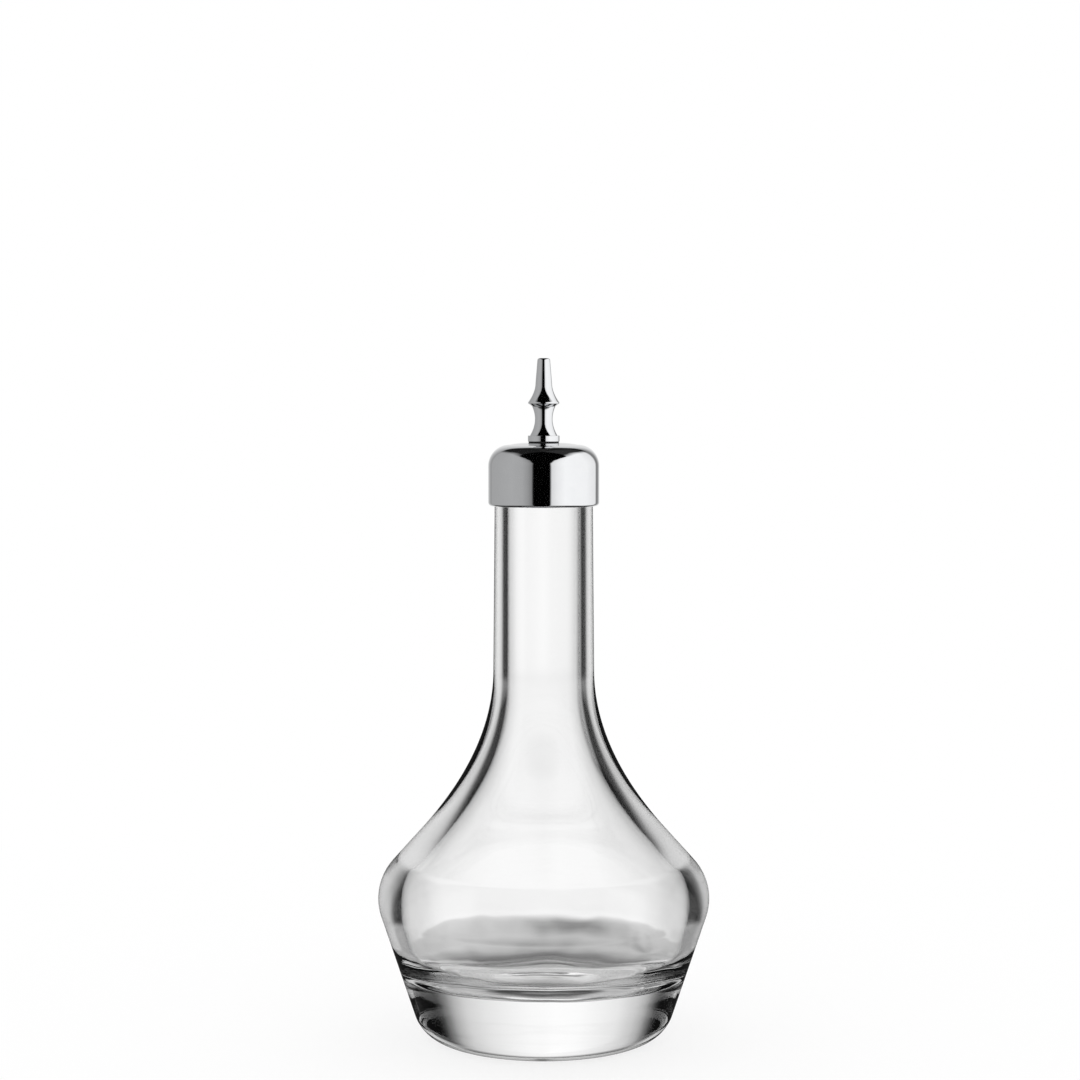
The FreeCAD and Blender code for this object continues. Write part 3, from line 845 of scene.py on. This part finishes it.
def studio_world():
    """White behind the object, even light on matt pieces, and the studio above for chrome and glass."""
    world = bpy.data.worlds.new("studio")
    SCENE.world = world
    world.use_nodes = True
    tree = world.node_tree
    tree.nodes.clear()
    way = add(tree, "ShaderNodeTexCoord").outputs["Generated"]
    split = add(tree, "ShaderNodeSeparateXYZ", {0: way}).outputs
    around = add(tree, "ShaderNodeMath", {0: split["X"], 1: split["Y"]}, operation="ARCTAN2").outputs[0]
    around = add(tree, "ShaderNodeMath", {0: around}, operation="DEGREES").outputs[0]
    up = add(tree, "ShaderNodeMath", {0: split["Z"]}, operation="ARCSINE").outputs[0]
    up = add(tree, "ShaderNodeMath", {0: up}, operation="DEGREES").outputs[0]

    flare = level_at(tree, up, CHROME_FLARE)
    flared = add(tree, "ShaderNodeMath", {0: around, 1: flare}, operation="MULTIPLY").outputs[0]
    turned_off = add(tree, "ShaderNodeMath", {0: around}, operation="ABSOLUTE").outputs[0]
    lift = level_at(tree, turned_off, CHROME_LIFT)
    lifted = add(tree, "ShaderNodeMath", {0: up, 1: lift}, operation="MULTIPLY").outputs[0]
    chrome = add(
        tree,
        "ShaderNodeMath",
        {0: level_at(tree, flared, CHROME_AROUND), 1: level_at(tree, lifted, CHROME_UP)},
        operation="MULTIPLY",
    ).outputs[0]
    mirrored = level_at(tree, around, GLASS_AROUND)

    aside = add(tree, "ShaderNodeMath", {0: around, 1: THROUGH_OFFSET}, operation="ADD").outputs[0]
    aside = add(tree, "ShaderNodeMath", {0: aside}, operation="ABSOLUTE").outputs[0]
    off_patch = add(tree, "ShaderNodeMath", {0: around, 1: PATCH_OFFSET}, operation="ADD").outputs[0]
    off_patch = add(tree, "ShaderNodeMath", {0: off_patch}, operation="ABSOLUTE").outputs[0]
    through = add(
        tree,
        "ShaderNodeMapRange",
        {
            "Value": level_at(tree, aside, ROUND_ASIDE),
            "To Min": level_at(tree, up, AHEAD_UP),
            "To Max": level_at(tree, up, ROUND_UP),
        },
    ).outputs[0]
    shades = (
        (level_at(tree, aside, FLAG_ASIDE), level_at(tree, up, FLAG_UP)),
        (level_at(tree, aside, SIDE_FLAG_ASIDE), level_at(tree, up, SIDE_FLAG_UP)),
        (level_at(tree, aside, BELT_ASIDE), level_at(tree, up, BELT_UP)),
        (level_at(tree, off_patch, PATCH_ASIDE), level_at(tree, up, PATCH_UP)),
    )
    for across, upward in shades:
        shade = add(tree, "ShaderNodeMath", {0: across, 1: upward}, operation="MULTIPLY").outputs[0]
        kept = add(tree, "ShaderNodeMath", {0: 1.0, 1: shade}, operation="SUBTRACT").outputs[0]
        through = add(tree, "ShaderNodeMath", {0: through, 1: kept}, operation="MULTIPLY").outputs[0]

    path = add(tree, "ShaderNodeLightPath").outputs
    light = 1.0
    for ray, level in (
        ("Is Glossy Ray", chrome),
        ("Is Singular Ray", mirrored),
        ("Is Transmission Ray", through),
        ("Is Camera Ray", 1.0),
    ):
        light = add(tree, "ShaderNodeMix", {"Factor": path[ray], "A": light, "B": level}).outputs[0]
    back = add(tree, "ShaderNodeBackground", {"Color": light, "Strength": 1.0})
    add(tree, "ShaderNodeOutputWorld", {"Surface": back.outputs[0]})


# Floor, in metres
FLOOR_RADIUS = 0.3
FLOOR_SIDES = 96
FLOOR_GLOW_SHARE = 0.8


def pale_floor():
    """White round floor that gives most of its light itself, so that only a soft shadow stays on it."""
    material = bpy.data.materials.new("pale_floor")
    material.use_nodes = True
    tree = material.node_tree
    tree.nodes.clear()
    glow = add(tree, "ShaderNodeEmission", {"Color": [1.0] * 4, "Strength": 1.0}).outputs[0]
    plain = add(tree, "ShaderNodeBsdfDiffuse", {"Color": [1.0] * 4}).outputs[0]
    mixed = add(tree, "ShaderNodeMixShader", {0: FLOOR_GLOW_SHARE, 1: plain, 2: glow}).outputs[0]
    add(tree, "ShaderNodeOutputMaterial", {"Surface": mixed})
    mesh = bpy.data.meshes.new("floor")
    turns = [math.tau * side / FLOOR_SIDES for side in range(FLOOR_SIDES)]
    rim = [(FLOOR_RADIUS * math.cos(turn), FLOOR_RADIUS * math.sin(turn), 0.0) for turn in turns]
    mesh.from_pydata(rim, [], [range(FLOOR_SIDES)])
    mesh.materials.append(material)
    floor = bpy.data.objects.new("floor", mesh)
    floor.visible_transmission = False
    floor.visible_glossy = False
    SCENE.collection.objects.link(floor)


# Camera: lens and sensor in millimetres, place in metres, tilt in degrees down from level
LENS = 85.38
SENSOR_WIDTH = 36.0
EYE_PLACE = (-0.00085, -0.580, 0.147)
EYE_TILT = 3.274


def camera():
    """A long lens level with the nozzle, looking slightly down."""
    data = bpy.data.cameras.new("camera")
    data.lens = LENS
    data.sensor_width = SENSOR_WIDTH
    eye = bpy.data.objects.new("camera", data)
    eye.location = EYE_PLACE
    eye.rotation_euler = (math.radians(90 - EYE_TILT), 0.0, 0.0)
    SCENE.collection.objects.link(eye)
    SCENE.camera = eye


TURNING = turning_tree()
GLASS = clear_glass()
CHROME = polished_chrome()
STEEL = turned_steel()
SILICONE = moulded_silicone()
RUBBER = dark_rubber()


def take_place(piece, node, body):
    """The piece stands for a CAD node, which is hidden, and moves with its body."""
    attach(piece, body)
    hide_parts(node)


bottle = turned("bottle_glass", glass_outline(), GLASS_SEGMENTS, GLASS, RIPPLE_HEIGHT, CAVITY_SHIFT)
take_place(bottle, "glass_bottle", "bottle")

flat_gasket = flat_ring_outline("lip_gasket", SEAL_HOLE_RADIUS, SEAL_EDGE)
gasket = turned("gasket_ring", flat_gasket, SEAL_SEGMENTS, SILICONE)
take_place(gasket, "lip_gasket", "stopper_seal")
sleeve = turned("finned_sleeve", sleeve_outline(), SEAL_SEGMENTS, SILICONE)
take_place(sleeve, "stopper_sleeve", "stopper_seal")

stem = turned("flanged_stem", stem_outline(), STEM_SEGMENTS, STEEL)
take_place(stem, "stopper_stem", "dasher_top")
flat_washer = flat_ring_outline("stop_washer", STEEL_HOLE_RADIUS, WASHER_EDGE)
thin_washer = turned("thin_washer", flat_washer, WASHER_SEGMENTS, STEEL)
take_place(thin_washer, "stop_washer", "dasher_top")
take_place(hexagon_nut("hexagon_nut", STEEL), "stem_nut", "dasher_top")

cap = turned("dasher_cap", cap_outline(), CAP_SEGMENTS, CHROME)
take_place(cap, "cap_shell", "dasher_top")
flat_seat = flat_ring_outline("nozzle_washer", CAP_HOLE_RADIUS, WASHER_EDGE)
seat_washer = turned("seat_washer", flat_seat, WASHER_SEGMENTS, RUBBER)
take_place(seat_washer, "nozzle_washer", "dasher_top")
spout = turned("dasher_spout", nozzle_outline(), NOZZLE_SEGMENTS, CHROME)
take_place(spout, "dasher_nozzle", "dasher_top")

studio_world()
pale_floor()
camera()
SCENE.view_settings.view_transform = "Standard"
